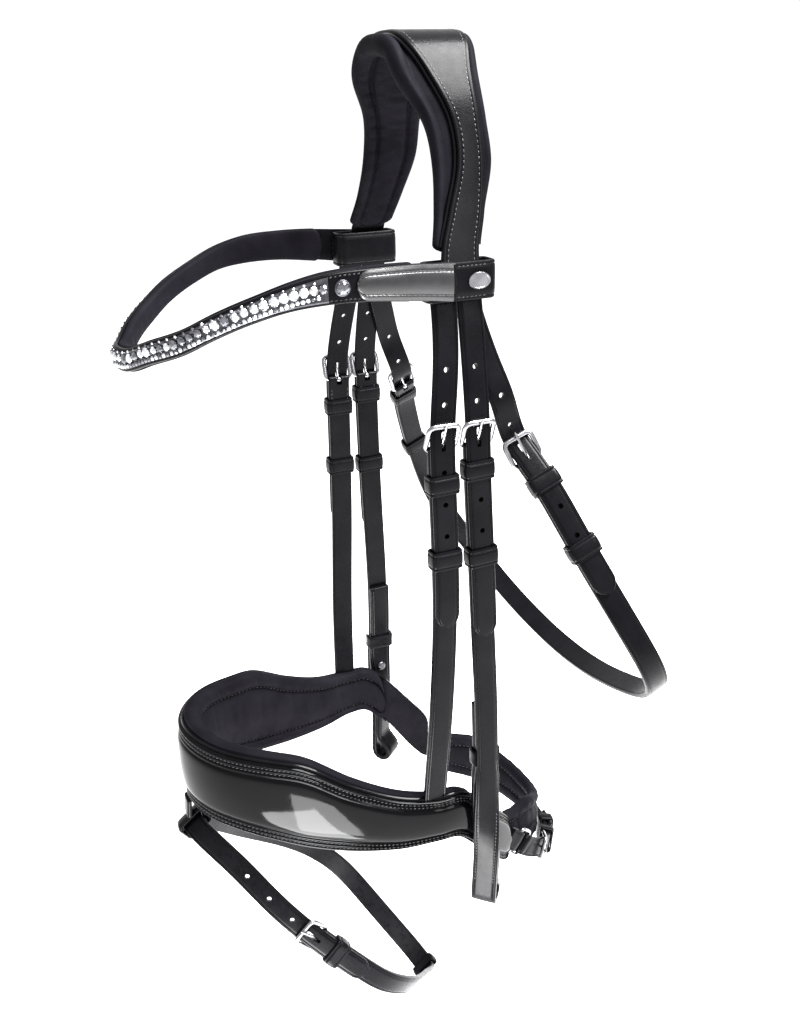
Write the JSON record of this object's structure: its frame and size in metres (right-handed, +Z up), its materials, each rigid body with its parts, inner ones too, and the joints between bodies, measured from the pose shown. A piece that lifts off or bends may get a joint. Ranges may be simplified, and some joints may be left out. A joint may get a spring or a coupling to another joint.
{
  "type": "snaffle bridle",
  "caption": "Black leather snaffle bridle with padded headpiece, crystal browband, crank noseband with chin pad, flash strap and throatlash",
  "frame": {"origin": "middle of the crown pad's underside, where it lies on the poll", "axes": "+Z up, -Y towards the horse's nose, +X towards the horse's left (near) side"},
  "size_m": [0.2676, 0.2736, 0.626],
  "materials": {
    "bridle_leather": "polished black bridle leather, creased and stitched along its edges",
    "patent_leather": "black patent leather with a mirror gloss",
    "patent_trim": "polished black leather patch, raised and edge stitched",
    "padding_leather": "soft matt black padding leather",
    "steel": "polished stainless steel wire",
    "silver_trim": "plain polished silver-coloured plate",
    "crystal": "cut clear and smoky crystal stones",
    "setting": "silver-coloured claw setting"
  },
  "bodies": {
    "headpiece": {"crown_strap": "bridle_leather", "crown_pad": "padding_leather", "billet_roots": "bridle_leather", "noseband_billets": "bridle_leather", "noseband_cheeks": "bridle_leather", "noseband_buckles": "steel", "noseband_fixed_keepers": "bridle_leather", "noseband_shell": "patent_leather", "noseband_padding": "padding_leather", "chin_pad": "padding_leather", "crank_billet": "bridle_leather", "crank_strap": "bridle_leather", "crank_buckle": "steel", "crank_rings": "steel", "crank_tabs": "bridle_leather", "crank_fixed_keeper": "bridle_leather"},
    "browband": {"browband_strap": "bridle_leather", "browband_lining": "padding_leather", "browband_loops": "bridle_leather", "browband_patches": "patent_trim", "browband_plates": "silver_trim", "crystal_channel": "setting", "crystals": "crystal", "browband_end_stones": "crystal"},
    "throatlash": {"throat_billets": "bridle_leather", "throat_buckles": "steel", "throat_fixed_keepers": "bridle_leather", "throatlash_strap": "bridle_leather"},
    "flash": {"flash_tab": "bridle_leather", "flash_strap": "bridle_leather", "flash_buckle": "steel", "flash_fixed_keeper": "bridle_leather"},
    "near_cheek": {"cheek_billet_near": "bridle_leather", "cheek_buckle_near": "steel", "cheek_fixed_keeper_near": "bridle_leather", "cheekpiece_near": "bridle_leather", "hook_stud_near": "steel", "bit_keeper_near": "bridle_leather"},
    "far_cheek": {"cheek_billet_far": "bridle_leather", "cheek_buckle_far": "steel", "cheek_fixed_keeper_far": "bridle_leather", "cheekpiece_far": "bridle_leather", "hook_stud_far": "steel", "bit_keeper_far": "bridle_leather"},
    "noseband_tongue_near": {"noseband_tongue_near": "steel"},
    "cheek_tongue_near": {"cheek_tongue_near": "steel"},
    "throat_tongue_near": {"throat_tongue_near": "steel"},
    "noseband_keeper_near": {"noseband_keeper_near": "bridle_leather"},
    "cheek_keeper_near": {"cheek_keeper_near": "bridle_leather"},
    "throat_keeper_near": {"throat_keeper_near": "bridle_leather"},
    "noseband_tongue_far": {"noseband_tongue_far": "steel"},
    "cheek_tongue_far": {"cheek_tongue_far": "steel"},
    "throat_tongue_far": {"throat_tongue_far": "steel"},
    "noseband_keeper_far": {"noseband_keeper_far": "bridle_leather"},
    "cheek_keeper_far": {"cheek_keeper_far": "bridle_leather"},
    "throat_keeper_far": {"throat_keeper_far": "bridle_leather"},
    "flash_tongue": {"flash_tongue": "steel"},
    "crank_tongue": {"crank_tongue": "steel"},
    "flash_running_keeper": {"flash_running_keeper": "bridle_leather"},
    "crank_running_keeper": {"crank_running_keeper": "bridle_leather"}
  },
  "joints": [
    {"name": "browband_slide", "type": "slide", "parent": "headpiece", "child": "browband", "axis": [0, 0, 1], "range_m": [-0.005, 0]},
    {"name": "near_cheek_swing", "type": "hinge", "parent": "headpiece", "child": "near_cheek", "pos_m": [0.0658, -0.00356, -0.11604], "axis": [0, -1, 0], "range_deg": [0, 30]},
    {"name": "far_cheek_swing", "type": "hinge", "parent": "headpiece", "child": "far_cheek", "pos_m": [-0.0658, -0.00356, -0.11604], "axis": [0, 1, 0], "range_deg": [0, 30]},
    {"name": "throatlash_swing", "type": "hinge", "parent": "headpiece", "child": "throatlash", "pos_m": [0, 0.00454, -0.11667], "axis": [1, 0, 0], "range_deg": [0, 25]},
    {"name": "flash_swing", "type": "hinge", "parent": "headpiece", "child": "flash", "pos_m": [0, -0.1555, -0.4034], "axis": [1, 0, 0], "range_deg": [-30, 15]},
    {"name": "noseband_tongue_turn_near", "type": "hinge", "parent": "headpiece", "child": "noseband_tongue_near", "pos_m": [0.07319, -0.02455, -0.18124], "axis": [0.0022, 0.9996, -0.0275], "range_deg": [0, 35]},
    {"name": "cheek_tongue_turn_near", "type": "hinge", "parent": "near_cheek", "child": "cheek_tongue_near", "pos_m": [0.07451, -0.00534, -0.18142], "axis": [-0.0002, 1, 0.0024], "range_deg": [0, 35]},
    {"name": "throat_tongue_turn_near", "type": "hinge", "parent": "throatlash", "child": "throat_tongue_near", "pos_m": [0.07979, 0.02278, -0.19338], "axis": [0.0089, 0.9256, 0.3784], "range_deg": [0, 35]},
    {"name": "noseband_keeper_slide_near", "type": "slide", "parent": "headpiece", "child": "noseband_keeper_near", "axis": [-0.0524, 0.0028, 0.9986], "range_m": [-0.012, 0.016]},
    {"name": "cheek_keeper_slide_near", "type": "slide", "parent": "near_cheek", "child": "cheek_keeper_near", "axis": [-0.0446, -0.0316, 0.9985], "range_m": [-0.012, 0.016]},
    {"name": "throat_keeper_slide_near", "type": "slide", "parent": "throatlash", "child": "throat_keeper_near", "axis": [-0.4228, -0.3527, 0.8347], "range_m": [-0.006, 0.008]},
    {"name": "noseband_tongue_turn_far", "type": "hinge", "parent": "headpiece", "child": "noseband_tongue_far", "pos_m": [-0.07319, -0.02455, -0.18124], "axis": [0.0022, -0.9996, 0.0275], "range_deg": [0, 35]},
    {"name": "cheek_tongue_turn_far", "type": "hinge", "parent": "far_cheek", "child": "cheek_tongue_far", "pos_m": [-0.07451, -0.00534, -0.18142], "axis": [-0.0002, -1, -0.0024], "range_deg": [0, 35]},
    {"name": "throat_tongue_turn_far", "type": "hinge", "parent": "throatlash", "child": "throat_tongue_far", "pos_m": [-0.07979, 0.02278, -0.19338], "axis": [0.0089, -0.9256, -0.3784], "range_deg": [0, 35]},
    {"name": "noseband_keeper_slide_far", "type": "slide", "parent": "headpiece", "child": "noseband_keeper_far", "axis": [0.0524, 0.0028, 0.9986], "range_m": [-0.012, 0.016]},
    {"name": "cheek_keeper_slide_far", "type": "slide", "parent": "far_cheek", "child": "cheek_keeper_far", "axis": [0.0446, -0.0316, 0.9985], "range_m": [-0.012, 0.016]},
    {"name": "throat_keeper_slide_far", "type": "slide", "parent": "throatlash", "child": "throat_keeper_far", "axis": [0.4108, -0.3677, 0.8343], "range_m": [-0.006, 0.008]},
    {"name": "flash_tongue_turn", "type": "hinge", "parent": "flash", "child": "flash_tongue", "pos_m": [0.05125, -0.09778, -0.49143], "axis": [-0.0257, 0.733, 0.6797], "range_deg": [0, 35]},
    {"name": "crank_tongue_turn", "type": "hinge", "parent": "headpiece", "child": "crank_tongue", "pos_m": [0.0411, 0.06292, -0.48455], "axis": [-0.2173, 0.3738, 0.9017], "range_deg": [0, 35]},
    {"name": "flash_running_keeper_slide", "type": "slide", "parent": "flash", "child": "flash_running_keeper", "axis": [1, 0, 0], "range_m": [-0.001, 0.001]},
    {"name": "crank_running_keeper_slide", "type": "slide", "parent": "headpiece", "child": "crank_running_keeper", "axis": [0.9201, -0.3488, 0.1783], "range_m": [-0.003, 0.003]}
  ]
}
